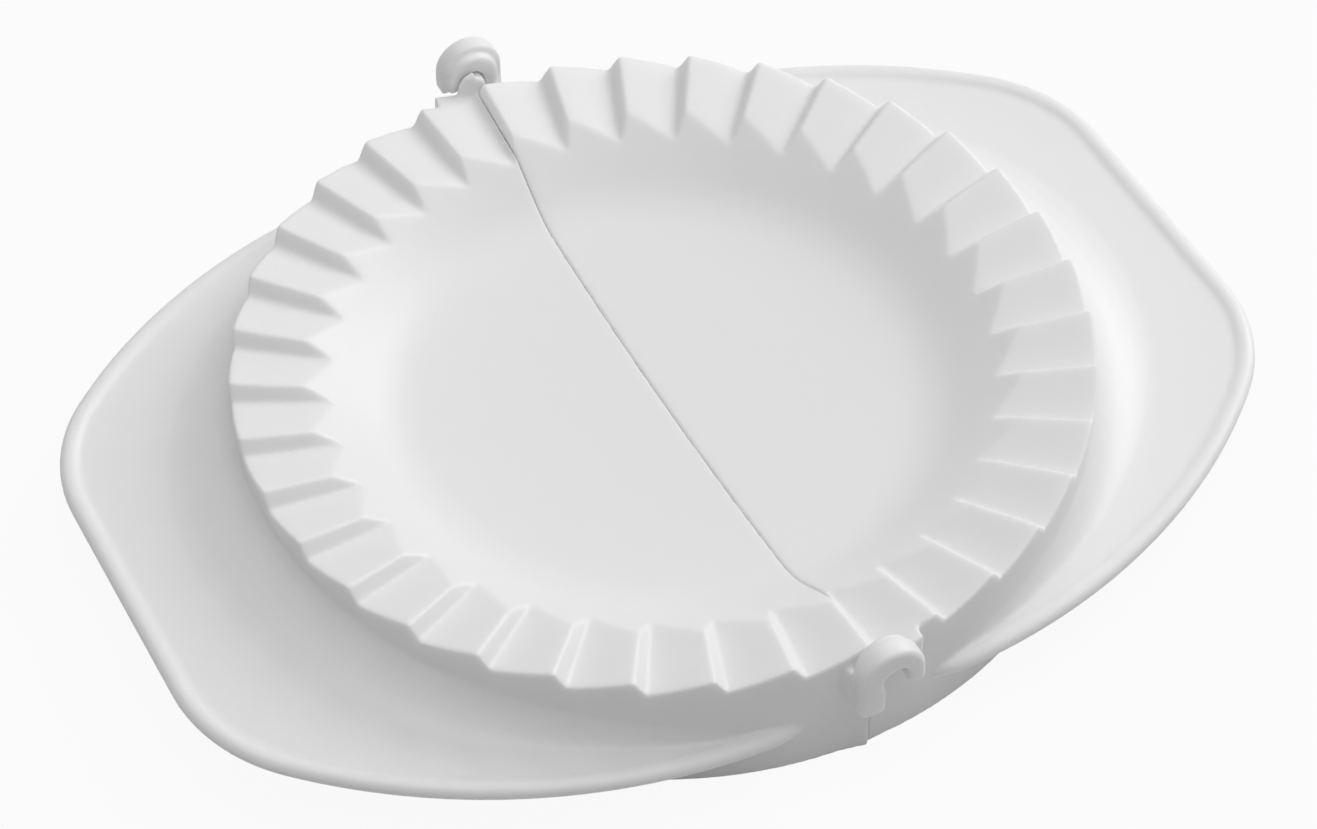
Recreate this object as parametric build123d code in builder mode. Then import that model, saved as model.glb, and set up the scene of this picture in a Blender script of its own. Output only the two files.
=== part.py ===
from build123d import *
import os
from math import atan, cos, degrees, hypot, radians, sin, sqrt, tan

os.makedirs("parts", exist_ok=True)

# A folding empanada press, moulded in white polypropylene as two identical halves.
# Each half is half of a shallow dish with a toothed rim, a skirt that stands on the
# table and cuts the dough round, and a wing to hold it by. One end of its straight
# edge has a hook and the other a pin, so that two halves snap together into a hinge.
#
# Millimetres and degrees. The press lies open. The origin is on the table under the
# middle of the dish, +Z is up, and X is the hinge line, with the left half on -Y.

# ---------------------------------------------------------------- driving dimensions

# Toothed rim
rim_radius = 62.5  # outer edge of the teeth
rim_height = 21.2  # middle height of the teeth at that edge, above the table
teeth_per_half = 18
tooth_height = 2.6  # crest above valley at the outer edge
steep_face_angle = 1.52  # the part of each tooth's pitch that its steep face takes
rim_dishing = 10.25  # all tooth faces point at one apex, this far below the rim
tooth_wall = 1.6

# Dish
dish_lip_radius = 49.7  # a point on the straight slope of the dish wall
dish_lip_depth = 2.1  # how far below the rim that point is
dish_wall_slope = 33.5
dish_depth = 10.8  # middle of the floor below the rim
dish_floor_radius = 400.0  # the floor is a very flat bowl
dish_corner_radius = 16.0  # between floor and wall
dish_wall = 1.8

# Skirt
skirt_foot_radius = 61.3  # at the table, where the draft of the mould ends
skirt_wall = 1.7
seam_gap = 0.1  # between the two straight edges

# Wing
wing_reach = 85.0  # middle of the dish to the wing's tip
wing_tip_half_width = 18.5  # half of the straight tip edge
wing_corner_radius = 26.6
wing_half_width = 62.3  # at its widest
wing_side_end = 15.0  # the sides run parallel here, this far from the hinge line
wing_end = 10.0  # and have sunk into the skirt here
wing_end_sink = 1.8  # how deep the bead's middle lies under the skirt's face there
wing_drop = 12.4  # top of the wing below the rim, taken at the hinge line
wing_rise = 0.04  # how much the wing climbs outwards, per mm
wing_wall = 1.6
bead_width = 3.0  # the rounded bead along the wing's edge
bead_rise = 0.75  # above the wing
bead_underhang = 0.2  # below the wing
sweep_in_width = 14.0  # the skirt sweeps out into the wing: how far, at the middle
sweep_in_height = 8.4  # and how high above the wing it starts
sweep_in_sink = 0.1  # it runs this far into the wing, which it meets in a faint edge
sweep_in_bite = 0.4  # and its ends this far into the skirt
sweep_in_bands = 9  # its hollow curve is drawn in this many straight bands

# Hinge
hinge_lift = 0.15  # axis above the middle height of the teeth
pin_radius = 1.75
bore_radius = 2.0
pin_reach = 0.7  # how far the pin enters the hook's thick strap
lug_stand_off = 1.25  # outer face of the pin's lug, beyond the rim
lug_width = 6.9
lug_height = 5.0  # below the axis
boss_radius = 3.0  # round shoulder at the foot of the pin
boss_length = 0.95
side_gap = 0.3  # between lug and hook
relief_width = 2.4  # upright groove in the rim beside the lug
relief_depth = 0.8
neck_thickness = 1.55
neck_radius = 4.15
neck_offset = 0.2  # centre of the neck's arch, towards its own half
neck_lift = 0.65  # and above the axis
neck_tip_height = 1.0  # end of the neck's free side below the axis
strap_thickness = 3.15
strap_radius = 5.05
strap_offset = 0.55  # centre of the strap's arch, towards its own half
strap_lift = 0.75  # and above the axis
strap_tip_height = 2.0  # end of the strap's free side below the axis
leg_stand_off = 1.5  # the long leg's inner side from the axis: the pin snaps past it
leg_height = 5.8  # the leg's end below the axis
heel_radius = 1.6  # corner of that end on the outside
toe_radius = 0.8  # and on the inside
strap_edge_round = 0.7
root_shoulder = (4.5, 1.6)  # the root carries the hook on the skirt: the end of its top,
root_knee = (5.0, 5.0)  # its widest point
root_foot = (3.0, 10.5)  # and its lower end, each out from the axis and below it
root_ramp = 4.0  # its face slopes into the skirt from here
root_ramp_end = 5.4  # to here, where it lies
root_ramp_sink = 0.25  # this far under the skirt's face
boss_clearance = 0.4  # between root and boss, when the press is shut
skirt_rib_height = 6.5  # the skirt thickens at its end under the hook
skirt_rib_length = 8.0
skirt_rib_reach = 0.7

# ------------------------------------------------------------------- derived values

apex_height = rim_height - rim_dishing
pitch_angle = 180 / teeth_per_half
gentle_face_angle = pitch_angle - steep_face_angle
half_seam = seam_gap / 2
teeth_top = rim_height + tooth_height  # clear of every crest
axis_height = rim_height + hinge_lift
lug_face = rim_radius + lug_stand_off
neck_face = lug_face + side_gap
strap_face = neck_face + neck_thickness
skirt_middle = rim_radius - skirt_wall / 2  # inside the skirt's wall at the rim
wing_height = rim_height - wing_drop
wing_tilt = degrees(atan(wing_rise))
cut_margin = 10.0  # cutting shapes run this far past the press


def skirt_radius(height):
    """Outer radius of the skirt at a height above the table."""
    return skirt_foot_radius + (rim_radius - skirt_foot_radius) * height / rim_height


# -------------------------------------------------------------- the gap between teeth

# Both faces of a gap are flat and run down to the apex of the rim, so the gap is a
# pyramid. Here its valley points along X. It passes the two crests beside it a little,
# so that neighbouring gaps meet in a clean edge.
gap_mouth = rim_radius + cut_margin
gap_overrun = 1.3


def mouth_point(turn, side):
    """Where a crest (side 1) or valley (side -1) line crosses the gap's mouth."""
    radius = gap_mouth / cos(radians(turn))
    climb = (rim_dishing + side * tooth_height / 2) * radius / rim_radius
    return Vector(gap_mouth * tan(radians(turn)), apex_height + climb)


with BuildPart() as tooth_gap:
    valley = mouth_point(0, -1)
    steep_end = valley + (mouth_point(-steep_face_angle, 1) - valley) * gap_overrun
    gentle_end = valley + (mouth_point(gentle_face_angle, 1) - valley) * gap_overrun
    mouth_top = teeth_top + cut_margin
    with BuildSketch(Plane.YZ.offset(gap_mouth)) as mouth:
        with BuildLine():
            Polyline(
                valley,
                gentle_end,
                (gentle_end.X, mouth_top),
                (steep_end.X, mouth_top),
                steep_end,
                close=True,
            )
        make_face()
    loft(sections=[mouth.sketch.face(), Vertex(0, 0, apex_height)], ruled=True)

# The space above the teeth of the left half. The steep faces stand at whole steps of
# the pitch, half of one at each end of the hinge line.
with BuildPart() as above_teeth:
    with PolarLocations(
        0,
        teeth_per_half + 1,
        start_angle=180 + steep_face_angle / 2,
        angular_range=180,
        endpoint=True,
    ):
        add(tooth_gap.part)

# ------------------------------------------------------------------------- the dish


def dish_section(growth):
    """Half section of the dish's hollow, grown outwards by the given amount."""
    slope = radians(dish_wall_slope)
    lip = Vector(
        dish_lip_radius + growth * sin(slope),
        rim_height - dish_lip_depth - growth * cos(slope),
    )
    floor_height = rim_height - dish_depth - growth
    floor_radius = dish_floor_radius + growth
    # The wall's line meets the floor's arc where both have the same height.
    half_step = floor_radius * tan(slope)
    level_gap = lip.Y - lip.X * tan(slope) - floor_height
    corner_radius = half_step - sqrt(half_step**2 + 2 * floor_radius * level_gap)
    corner = Vector(corner_radius, floor_height + corner_radius**2 / (2 * floor_radius))
    rise = teeth_top + cut_margin / 2 - lip.Y
    top = Vector(lip.X + rise / tan(slope), lip.Y + rise)
    with BuildSketch(Plane.XZ) as section:
        with BuildLine():
            Spline(
                (0, floor_height),
                corner,
                tangents=((1, 0), (1, corner_radius / floor_radius)),
            )
            Polyline(corner, top, (0, top.Y), (0, floor_height))
        make_face()
        fillet(
            section.vertices().sort_by_distance(Vector(corner.X, 0, corner.Y))[0],
            radius=dish_corner_radius + growth,
        )
    return section.sketch


with BuildPart() as dish_hollow:
    add(dish_section(0))
    revolve(axis=Axis.Z)

with BuildPart() as dish_outside:
    add(dish_section(dish_wall))
    revolve(axis=Axis.Z)

# The hollow under the press: everything inside the skirt and below dish and teeth.
with BuildPart() as underside:
    with BuildSketch(Plane.XZ):
        with BuildLine():
            Polyline(
                (0, -cut_margin),
                (skirt_radius(-cut_margin) - skirt_wall, -cut_margin),
                (skirt_radius(teeth_top) - skirt_wall, teeth_top),
                (0, teeth_top),
                close=True,
            )
        make_face()
    revolve(axis=Axis.Z)
    split(bisect_by=Plane.XZ, keep=Keep.TOP)
    add(dish_outside.part, mode=Mode.SUBTRACT)
    with Locations((0, 0, -tooth_wall)):
        add(above_teeth.part, mode=Mode.SUBTRACT)

# ------------------------------------------------------------------------- the wing

wing_plane = Plane(
    origin=(0, 0, wing_height),
    x_dir=(1, 0, 0),
    z_dir=(0, sin(radians(wing_tilt)), cos(radians(wing_tilt))),
)


def wing_edge(inset):
    """The wing's edge from hinge to hinge, drawn in by the given amount."""
    corner_x = wing_tip_half_width
    corner_y = -(wing_reach - wing_corner_radius)
    across = wing_half_width - corner_x
    along = -corner_y - wing_side_end
    # The side is the arc that leaves the corner smoothly and ends parallel to Y.
    side_radius = (across**2 + along**2 - wing_corner_radius**2) / (
        2 * (across - wing_corner_radius)
    )
    side_x = wing_half_width - side_radius
    side_y = -wing_side_end
    reach_x = corner_x - side_x
    reach_y = corner_y - side_y
    reach = hypot(reach_x, reach_y)
    side_r = side_radius - inset
    join = (side_x + side_r * reach_x / reach, side_y + side_r * reach_y / reach)
    widest = (side_x + side_r, side_y)
    # From there it bends smoothly into the skirt's wall, before the hinge.
    end = (sqrt(skirt_radius(wing_height) ** 2 - wing_end**2) - wing_end_sink, -wing_end)
    end_x = widest[0] - end[0]
    end_y = widest[1] - end[1]
    end_r = (end_x**2 + end_y**2) / (2 * end_x)
    tip_y = -wing_reach + inset
    with BuildLine(wing_plane) as edge:
        RadiusArc((-end[0], end[1]), (-widest[0], widest[1]), -end_r)
        RadiusArc((-widest[0], widest[1]), (-join[0], join[1]), -side_r)
        RadiusArc((-join[0], join[1]), (-corner_x, tip_y), -(wing_corner_radius - inset))
        Line((-corner_x, tip_y), (corner_x, tip_y))
        RadiusArc((corner_x, tip_y), join, -(wing_corner_radius - inset))
        RadiusArc(join, widest, -side_r)
        RadiusArc(widest, end, -end_r)
    return edge.line


def sweep_in(turn, wall):
    """Half depth and height above the wing of the sweep-in, grown inwards by a wall."""
    out = sweep_in_width * (1 - cos(radians(turn)))
    up = sweep_in_height * (1 - sin(radians(turn))) - sweep_in_sink
    normal_in = sweep_in_height * cos(radians(turn))
    normal_down = sweep_in_width * sin(radians(turn))
    length = hypot(normal_in, normal_down)
    start = skirt_radius(wing_height + sweep_in_height) - sweep_in_bite
    return (
        start + out - wall * normal_in / length,
        up - wall * normal_down / length,
    )


sweep_in_turns = [90 * band / sweep_in_bands for band in range(sweep_in_bands + 1)]
sweep_in_half_length = skirt_radius(wing_height) - sweep_in_bite

bead_path = wing_edge(bead_width / 2)

with BuildPart() as wing:
    with BuildSketch(wing_plane):
        with BuildLine():
            add(wing_plane.to_local_coords(bead_path))
            Line(*[wing_plane.to_local_coords(bead_path @ end) for end in (1, 0)])
        make_face()
    extrude(amount=-wing_wall)
    # The bead
    bead_height = wing_wall + bead_rise + bead_underhang
    with BuildSketch(Plane(origin=bead_path @ 0, x_dir=wing_plane.z_dir, z_dir=bead_path % 0)):
        with Locations((bead_rise - bead_height / 2, 0)):
            Ellipse(bead_height / 2, bead_width / 2)
    sweep(path=bead_path)
    # The sweep from skirt to wing, as thick as the wing
    for turn in sweep_in_turns:
        half_depth, height = sweep_in(turn, 0)
        with BuildSketch(wing_plane.offset(height)):
            Ellipse(sweep_in_half_length, half_depth)
    loft(ruled=True)
    for turn in sweep_in_turns:
        half_depth, height = sweep_in(turn, wing_wall)
        with BuildSketch(wing_plane.offset(height)):
            Ellipse(sweep_in_half_length - wing_wall, half_depth)
    loft(ruled=True, mode=Mode.SUBTRACT)

# ------------------------------------------------------------------- hook and pin

axis_plane = Plane(origin=(0, 0, axis_height), x_dir=(0, 1, 0), z_dir=(1, 0, 0))

# The leg's inner side meets the bore a little below the axis.
snap_edge = (-leg_stand_off, -sqrt(bore_radius**2 - leg_stand_off**2))

with BuildPart() as hook:
    # Thick outer strap: an arch over the pin with one long leg
    with BuildSketch(axis_plane.offset(strap_face)) as strap:
        with BuildLine():
            free_side = strap_radius - strap_offset
            own_side = -strap_radius - strap_offset
            ThreePointArc(
                (free_side, strap_lift),
                (-strap_offset, strap_radius + strap_lift),
                (own_side, strap_lift),
            )
            Polyline(
                (own_side, strap_lift),
                (own_side, -leg_height),
                (-leg_stand_off, -leg_height),
                snap_edge,
            )
            ThreePointArc(snap_edge, (0, bore_radius), (bore_radius, 0))
            Polyline(
                (bore_radius, 0),
                (bore_radius, -strap_tip_height),
                (free_side, -strap_tip_height),
                (free_side, strap_lift),
            )
        make_face()
        for corner_radius, corner in ((heel_radius, 0), (toe_radius, -1)):
            leg_end = strap.vertices().group_by(Axis.Y)[0].sort_by(Axis.X)
            fillet(leg_end[corner], radius=corner_radius)
    extrude(amount=strap_thickness)
    fillet(hook.faces().sort_by(Axis.X)[-1].edges(), radius=strap_edge_round)
    # Thin neck behind it
    with BuildSketch(axis_plane.offset(neck_face)):
        with BuildLine():
            free_side = neck_radius - neck_offset
            own_side = -neck_radius - neck_offset
            ThreePointArc(
                (free_side, neck_lift),
                (-neck_offset, neck_radius + neck_lift),
                (own_side, neck_lift),
            )
            Polyline(
                (own_side, neck_lift),
                (own_side, -leg_height),
                (-bore_radius, -leg_height),
                (-bore_radius, 0),
            )
            ThreePointArc((-bore_radius, 0), (0, bore_radius), (bore_radius, 0))
            Polyline(
                (bore_radius, 0),
                (bore_radius, -neck_tip_height),
                (free_side, -neck_tip_height),
                (free_side, neck_lift),
            )
        make_face()
    extrude(amount=neck_thickness)

# The root, drawn first as seen along the axis and then as seen from above
with BuildPart() as root:
    with BuildSketch(axis_plane.offset(skirt_middle - skirt_wall)):
        with BuildLine():
            boss_side = boss_radius + boss_clearance
            Polyline(
                (-root_shoulder[0], -root_shoulder[1]),
                (-boss_side, -root_shoulder[1]),
                (-boss_side, -boss_side),
                (-bore_radius, -boss_side),
                (-bore_radius, -root_foot[1]),
                (-root_foot[0], -root_foot[1]),
                (-root_knee[0], -root_knee[1]),
                close=True,
            )
        make_face()
    extrude(amount=neck_face - skirt_middle + skirt_wall)
    with BuildSketch(Plane.XY):
        with BuildLine():
            skirt_face = sqrt(skirt_radius(axis_height) ** 2 - root_ramp_end**2)
            root_back = skirt_face - skirt_wall / 2
            Polyline(
                (root_back, 0),
                (neck_face, 0),
                (neck_face, -root_ramp),
                (skirt_face - root_ramp_sink, -root_ramp_end),
                (root_back, -root_ramp_end),
                close=True,
            )
        make_face()
    extrude(amount=axis_height, mode=Mode.INTERSECT)

# The pin is drawn at the hook's end and turned to the other end of the half.
with BuildPart() as pin:
    with BuildSketch(axis_plane.offset(lug_face - boss_length)):
        Circle(boss_radius)
        with Locations((half_seam, 0)):
            Rectangle(
                boss_radius + half_seam, 2 * boss_radius, align=(Align.MAX, Align.CENTER),
                mode=Mode.SUBTRACT,
            )
    extrude(amount=boss_length)
    with BuildSketch(axis_plane.offset(lug_face - boss_length)):
        Circle(pin_radius)
    extrude(amount=boss_length + side_gap + neck_thickness + pin_reach)

with BuildPart() as lug:
    with BuildSketch(axis_plane.offset(skirt_middle)):
        with Locations((half_seam, -lug_height)):
            Rectangle(
                lug_width - half_seam, lug_height + teeth_top - axis_height, align=Align.MIN
            )
    extrude(amount=lug_face - skirt_middle)

with BuildPart() as lug_relief:
    with BuildSketch(axis_plane.offset(rim_radius - relief_depth)):
        with Locations((lug_width, -lug_height)):
            Rectangle(relief_width, lug_height + teeth_top - axis_height, align=Align.MIN)
    extrude(amount=cut_margin)

# ------------------------------------------------------------------------- one half

half_turn = (0, 0, 180)

with BuildPart() as left_half:
    with BuildSketch(Plane.XZ):
        with BuildLine():
            Polyline(
                (0, 0),
                (skirt_foot_radius, 0),
                (rim_radius, rim_height),
                (rim_radius, teeth_top),
                (0, teeth_top),
                close=True,
            )
        make_face()
    revolve(axis=Axis.Z)
    split(bisect_by=Plane.XZ.offset(-cut_margin), keep=Keep.TOP)
    add(lug_relief.part, rotation=half_turn, mode=Mode.SUBTRACT)
    add(lug.part, rotation=half_turn)
    add(wing.part)
    add(underside.part, mode=Mode.SUBTRACT)
    add(dish_hollow.part, mode=Mode.SUBTRACT)
    add(above_teeth.part, mode=Mode.SUBTRACT)
    split(bisect_by=Plane.XZ.offset(half_seam), keep=Keep.TOP)
    # The skirt's thicker end under the hook
    with BuildSketch() as skirt_rib:
        with BuildLine():
            rib_x = skirt_foot_radius - skirt_wall / 2
            Polyline(
                (rib_x, -half_seam),
                (skirt_foot_radius + skirt_rib_reach, -half_seam),
                (rib_x, -half_seam - skirt_rib_length),
                close=True,
            )
        make_face()
    extrude(amount=skirt_rib_height)
    add(hook.part)
    add(root.part)
    add(pin.part, rotation=half_turn)

left_half.part.label = "left_half"
export_step(left_half.part, "parts/left_half.step")

# ------------------------------------------------------------------- the other half

with BuildPart() as right_half:
    add(left_half.part, rotation=half_turn)

right_half.part.label = "right_half"
export_step(right_half.part, "parts/right_half.step")
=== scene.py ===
# %% [markdown]
# # A folding empanada press in Blender
#
# The real object is a small kitchen press. It is moulded in white polypropylene as two
# equal halves, which snap together into a hinge. Open, they form a round dish with a
# toothed rim, and a wing to hold on each side. A disc of dough goes on the dish, the
# filling on the dough, and folding the press shuts the empanada and crimps its edge.
#
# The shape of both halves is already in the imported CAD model, so this script starts
# from it. What Blender adds is what a mould gives a real part: softened edges, the
# satin skin of the plastic, and the light that shows them.

import bpy
from math import pi, radians

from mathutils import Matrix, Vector


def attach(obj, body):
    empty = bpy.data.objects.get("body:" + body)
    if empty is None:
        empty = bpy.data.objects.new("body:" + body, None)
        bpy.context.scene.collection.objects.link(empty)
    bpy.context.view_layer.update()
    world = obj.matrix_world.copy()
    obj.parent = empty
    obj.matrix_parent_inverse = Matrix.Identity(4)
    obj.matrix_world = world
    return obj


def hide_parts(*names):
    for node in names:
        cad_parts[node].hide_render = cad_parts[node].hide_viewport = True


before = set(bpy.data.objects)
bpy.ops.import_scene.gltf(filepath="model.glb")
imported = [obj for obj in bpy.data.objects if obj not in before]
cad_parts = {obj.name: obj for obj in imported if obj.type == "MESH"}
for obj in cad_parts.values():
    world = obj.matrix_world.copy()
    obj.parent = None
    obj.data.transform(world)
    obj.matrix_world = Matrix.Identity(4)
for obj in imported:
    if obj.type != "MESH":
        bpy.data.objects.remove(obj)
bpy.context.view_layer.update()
print("nodes:", sorted(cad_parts))

# %% [markdown]
# ## Small helpers
#
# Blender works in metres and in linear colour. Plans for a moulded part are in
# millimetres, and colours are easiest to write as the sRGB hex values that a picture
# shows. So one value turns millimetres into metres, and one short function turns hex
# values into linear colour.

# %% Units and colour
MM = 0.001


def colour(hex_value):
    """Linear RGBA from an sRGB value such as "#F0F0EE"."""
    channels = [int(hex_value[i : i + 2], 16) / 255 for i in (1, 3, 5)]
    linear = [
        c / 12.92 if c <= 0.04045 else ((c + 0.055) / 1.055) ** 2.4 for c in channels
    ]
    return (*linear, 1.0)


print("mid grey #808080 is", round(colour("#808080")[0], 3), "in linear light")

# %% [markdown]
# A material is a small network of nodes. One helper adds a node, sets its values and
# links its inputs, so that each material below reads from top to bottom. An input that
# is given as a pair of node and output name is a link, and anything else is a value.
# Where a node has several inputs of one name, Blender tells them apart as Value,
# Value_001 and so on, and the helper knows them by that too.

# %% One way to add a node


def add_node(material, kind, settings=None, **inputs):
    """Adds a node. Input names are written with underscores in place of spaces."""
    node = material.node_tree.nodes.new(kind)
    for name, value in (settings or {}).items():
        setattr(node, name, value)
    for name, value in inputs.items():
        label = name.replace("_", " ")
        socket = next(
            each
            for each in node.inputs
            if each.identifier == name or each.name == label
        )
        if isinstance(value, tuple) and isinstance(value[0], bpy.types.Node):
            material.node_tree.links.new(value[0].outputs[value[1]], socket)
        else:
            socket.default_value = value
    return node


def new_material(name):
    """An empty node material."""
    material = bpy.data.materials.new(name)
    material.use_nodes = True
    material.node_tree.nodes.clear()
    return material


# %% [markdown]
# ## The plastic: injection-moulded polypropylene
#
# White polypropylene is a soft, slightly waxy plastic. Light goes a few millimetres
# into it and comes out again, which softens the shade inside the teeth. Its surface is
# a copy of the steel mould: a fine satin with a broad, weak highlight. Where the melt
# cooled unevenly the gloss changes a little, over some centimetres.

# %% Moulded polypropylene
grain_size = 0.35 * MM  # the real grain is about 0.05 mm, too fine to show here
grain_depth = 0.02 * MM
gloss_patch = 30 * MM
glossiest, dullest = 0.34, 0.46  # roughness of a satin mould
light_depth = 1.5 * MM

plastic = new_material("moulded_polypropylene")
plastic_place = add_node(plastic, "ShaderNodeTexCoord")
grain = add_node(
    plastic,
    "ShaderNodeTexNoise",
    Vector=(plastic_place, "Object"),
    Scale=1 / grain_size,
    Detail=2.0,
)
skin = add_node(
    plastic,
    "ShaderNodeBump",
    Height=(grain, "Fac"),
    Strength=0.12,
    Distance=grain_depth,
)
gloss_noise = add_node(
    plastic,
    "ShaderNodeTexNoise",
    Vector=(plastic_place, "Object"),
    Scale=1 / gloss_patch,
    Detail=3.0,
)
gloss = add_node(
    plastic,
    "ShaderNodeMapRange",
    Value=(gloss_noise, "Fac"),
    To_Min=glossiest,
    To_Max=dullest,
)
shell = add_node(
    plastic,
    "ShaderNodeBsdfPrincipled",
    Base_Color=colour("#F1F1F1"),
    Roughness=(gloss, "Result"),
    IOR=1.49,
    Subsurface_Weight=0.6,
    Subsurface_Radius=(1.0, 1.0, 1.0),
    Subsurface_Scale=light_depth,
    Normal=(skin, "Normal"),
)
add_node(plastic, "ShaderNodeOutputMaterial", Surface=(shell, "BSDF"))
print("plastic nodes:", len(plastic.node_tree.nodes))

# %% [markdown]
# ## The two halves
#
# On the real press no edge is knife sharp: the mould rounds every crest, valley, rim
# and foot by about half a millimetre, and light slides over these rounds. The CAD nodes
# have sharp edges. A bevel would need every edge of the pleated rim picked out, and it
# stops where short edges meet. So one half is a merged copy of its node, which is
# poured anew on a fine grid of voxels and then smoothed, and that rounds crests and
# valleys alike.

# %% Pour one half anew
merge_distance = 0.002 * MM
voxel = 0.25 * MM

bpy.ops.object.select_all(action="DESELECT")
left_press = bpy.data.objects.new(
    "left_press_half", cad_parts["left_half"].data.copy()
)
bpy.context.scene.collection.objects.link(left_press)
left_press.select_set(True)
bpy.context.view_layer.objects.active = left_press
bpy.ops.object.mode_set(mode="EDIT")
bpy.ops.mesh.select_all(action="SELECT")
bpy.ops.mesh.remove_doubles(threshold=merge_distance)
bpy.ops.object.mode_set(mode="OBJECT")

pour = left_press.modifiers.new("pour", "REMESH")
pour.mode = "VOXEL"
pour.voxel_size = voxel
bpy.ops.object.modifier_apply(modifier=pour.name)
print("poured:", len(left_press.data.polygons), "faces")

# %% [markdown]
# The straight edges of the two halves meet in a seam across the dish. They are rounded
# less than the teeth, and they touch, so the seam shows as a fine line and not as a
# gap. A vertex group tells the smoothing how strongly it may act, from a little at the
# seam to fully a millimetre beside it. The hinges, beyond the rim, are left out.

# %% Mark the seam
seam_end = 62.2 * MM
seam_face = 0.12 * MM  # points this near the seam are on it
seam_band = 1.2 * MM
seam_softness = 0.2

softness = left_press.vertex_groups.new(name="softness")
for vertex in left_press.data.vertices:
    beside = abs(vertex.co.y)
    if abs(vertex.co.x) < seam_end and beside < seam_band:
        share = seam_softness + (1 - seam_softness) * (beside / seam_band) ** 2
        if beside < seam_face:
            vertex.co.y = 0.0
    else:
        share = 1.0
    softness.add([vertex.index], share, "REPLACE")
print("seam band:", round(2 * seam_band / MM, 1), "mm wide")

# %% [markdown]
# Smoothing moves each point towards the middle of its neighbours, and many light passes
# give an even round. A last step takes out the faces that flat areas don't need, which
# also keeps each half small enough to hand on.

# %% Smooth and thin out
smoothing_strength = 0.5
smoothing_passes = 24
kept_faces = 0.165

smooth = left_press.modifiers.new("smooth", "SMOOTH")
smooth.factor = smoothing_strength
smooth.iterations = smoothing_passes
smooth.vertex_group = softness.name
bpy.ops.object.modifier_apply(modifier=smooth.name)
thin = left_press.modifiers.new("thin out", "DECIMATE")
thin.ratio = kept_faces
bpy.ops.object.modifier_apply(modifier=thin.name)
left_press.vertex_groups.clear()
bpy.ops.object.shade_smooth()
left_press.data.materials.clear()
left_press.data.materials.append(plastic)
triangles = sum(len(face.vertices) - 2 for face in left_press.data.polygons)
print("left half:", triangles, "triangles")

# %% [markdown]
# The press is two equal halves from one mould, so the right half is a copy of the left
# one, turned half round about the middle of the dish. Each takes its node's place.

# %% The other half
right_press = left_press.copy()
right_press.data = left_press.data.copy()
right_press.name = "right_press_half"
bpy.context.scene.collection.objects.link(right_press)
bpy.ops.object.select_all(action="DESELECT")
right_press.select_set(True)
bpy.context.view_layer.objects.active = right_press
bpy.ops.transform.rotate(value=pi, orient_axis="Z", center_override=(0, 0, 0))
bpy.ops.object.transform_apply(location=True, rotation=True, scale=True)

for piece, half in ((left_press, "left_half"), (right_press, "right_half")):
    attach(piece, half)
    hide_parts(half)
    print(piece.name, "stands for", half)

# %% [markdown]
# ## Camera
#
# The press is seen from above one end of its hinge line, with a long lens from about
# 0.6 m, so its far side looks hardly smaller than its near side.

# %% Camera
camera_place = (0.35609, -0.17948, 0.43882)
camera_turn = [radians(angle) for angle in (42.7815, 0.4203, 62.9153)]
sensor_width = 36.0  # in mm, as Blender takes it, and the lens too
lens_length = 109.69

bpy.ops.object.camera_add(location=camera_place, rotation=camera_turn)
camera = bpy.context.object
camera.data.sensor_width = sensor_width
camera.data.lens = lens_length
bpy.context.scene.camera = camera
print("camera", round(camera.location.length, 3), "m from the middle of the foot")

# %% [markdown]
# ## Floor and background
#
# The press lies on a white sweep that runs out into a white background. The camera
# sees the floor almost as plain white, and a little of its shading is mixed in, so
# that the shadow under the press stays. Glossy and transmitted rays see the same white,
# and all other rays an ordinary pale floor and a dim room, so that the white background
# doesn't light the press. Light Path tells the rays apart, for the floor and the world
# in the same way.

# %% Which rays see the background


def sees_background(material):
    """A node that is 1 for camera, glossy and transmission rays and 0 for others."""
    rays = add_node(material, "ShaderNodeLightPath")
    seen = add_node(
        material,
        "ShaderNodeMath",
        {"operation": "ADD", "use_clamp": True},
        Value=(rays, "Is Camera Ray"),
        Value_001=(rays, "Is Glossy Ray"),
    )
    return add_node(
        material,
        "ShaderNodeMath",
        {"operation": "ADD", "use_clamp": True},
        Value=(seen, "Value"),
        Value_001=(rays, "Is Transmission Ray"),
    )


# %% Floor
floor_size = 6.0
floor_drop = 0.02 * MM  # just under the foot of the press
white_share = 0.93  # the rest of what the camera sees is the floor's own shading

bpy.ops.object.select_all(action="DESELECT")
bpy.ops.mesh.primitive_plane_add(size=floor_size, location=(0, 0, -floor_drop))
floor = bpy.context.object
floor.name = "floor"

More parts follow.
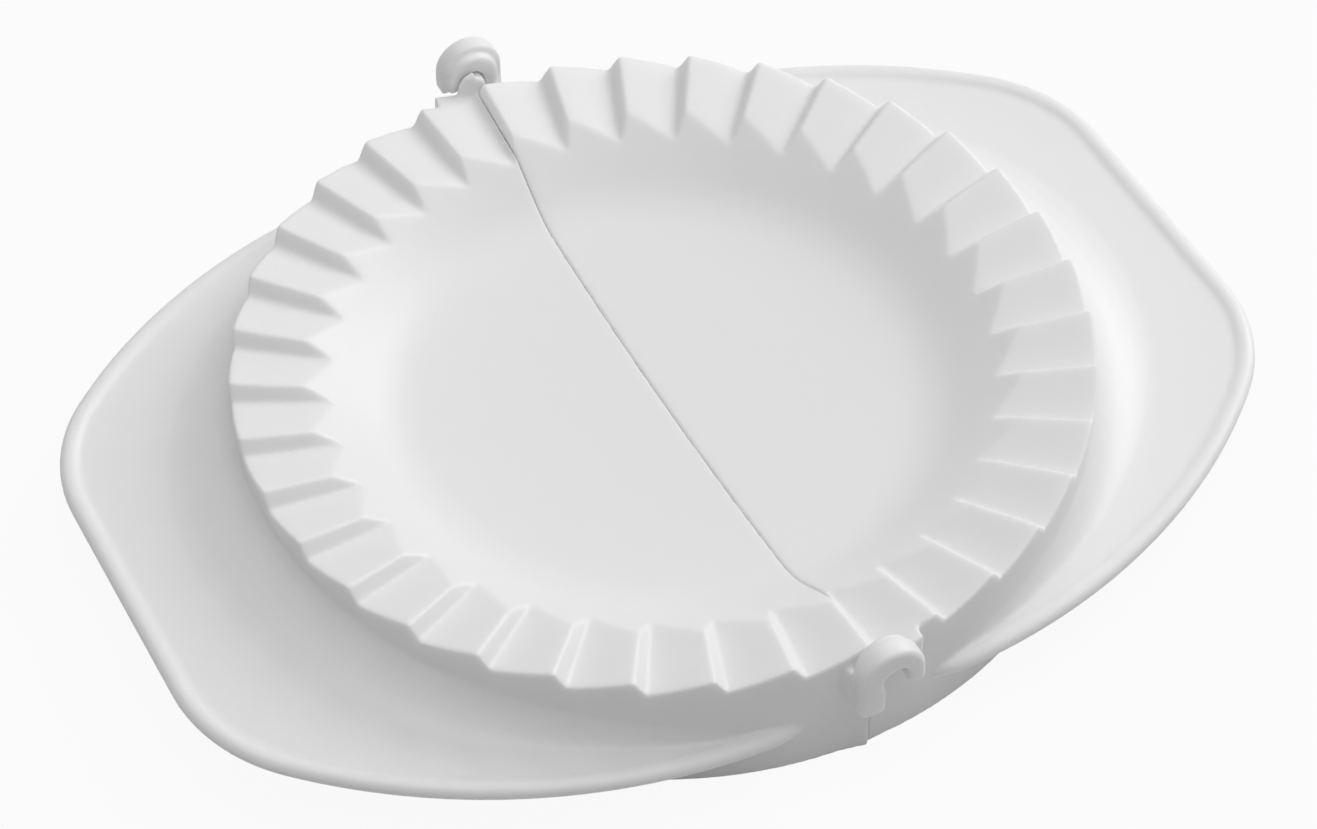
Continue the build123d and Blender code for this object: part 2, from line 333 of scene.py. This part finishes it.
paper = new_material("white_paper_floor")
paper_share = add_node(
    paper,
    "ShaderNodeMath",
    {"operation": "MULTIPLY"},
    Value=(sees_background(paper), "Value"),
    Value_001=white_share,
)
paper_lit = add_node(paper, "ShaderNodeBsdfDiffuse", Color=colour("#CFCFCF"))
paper_white = add_node(paper, "ShaderNodeEmission", Color=(1, 1, 1, 1), Strength=1.0)
paper_mix = add_node(
    paper,
    "ShaderNodeMixShader",
    Fac=(paper_share, "Value"),
    Shader=(paper_lit, "BSDF"),
    Shader_001=(paper_white, "Emission"),
)
add_node(paper, "ShaderNodeOutputMaterial", Surface=(paper_mix, "Shader"))
floor.data.materials.append(paper)
print("floor nodes:", len(paper.node_tree.nodes))

# %% World
room_glow = 0.29

world = bpy.data.worlds.new("studio")
bpy.context.scene.world = world
world.use_nodes = True
world.node_tree.nodes.clear()
room = add_node(world, "ShaderNodeBackground", Color=(1, 1, 1, 1), Strength=room_glow)
backdrop = add_node(world, "ShaderNodeBackground", Color=(1, 1, 1, 1), Strength=1.0)
world_mix = add_node(
    world,
    "ShaderNodeMixShader",
    Fac=(sees_background(world), "Value"),
    Shader=(room, "Background"),
    Shader_001=(backdrop, "Background"),
)
add_node(world, "ShaderNodeOutputWorld", Surface=(world_mix, "Shader"))
print("world nodes:", len(world.node_tree.nodes))

# %% [markdown]
# ## Light
#
# One large soft lamp stands beside the press, on the right half's side, and shades the
# teeth. A second hangs overhead, and a weaker one above the camera lifts the shade on
# the skirt.

# %% Lamps


def softbox(name, place, size, watts):
    """A square area lamp at a place in metres, turned towards the press."""
    bpy.ops.object.light_add(type="AREA", location=place)
    lamp = bpy.context.object
    lamp.name = name
    lamp.data.size = size
    lamp.data.energy = watts
    lamp.rotation_mode = "QUATERNION"
    lamp.rotation_quaternion = (-Vector(place)).to_track_quat("-Z", "Y")
    print(name, watts, "W from", round(lamp.location.length, 2), "m")


softbox("key", (-0.25, 1.1, 0.75), size=0.8, watts=7.9)
softbox("overhead", (-0.2, 0.0, 1.4), size=1.2, watts=4.9)
softbox("fill", (0.55, 0.05, 1.2), size=0.8, watts=2.0)

bpy.context.scene.view_settings.view_transform = "Standard"
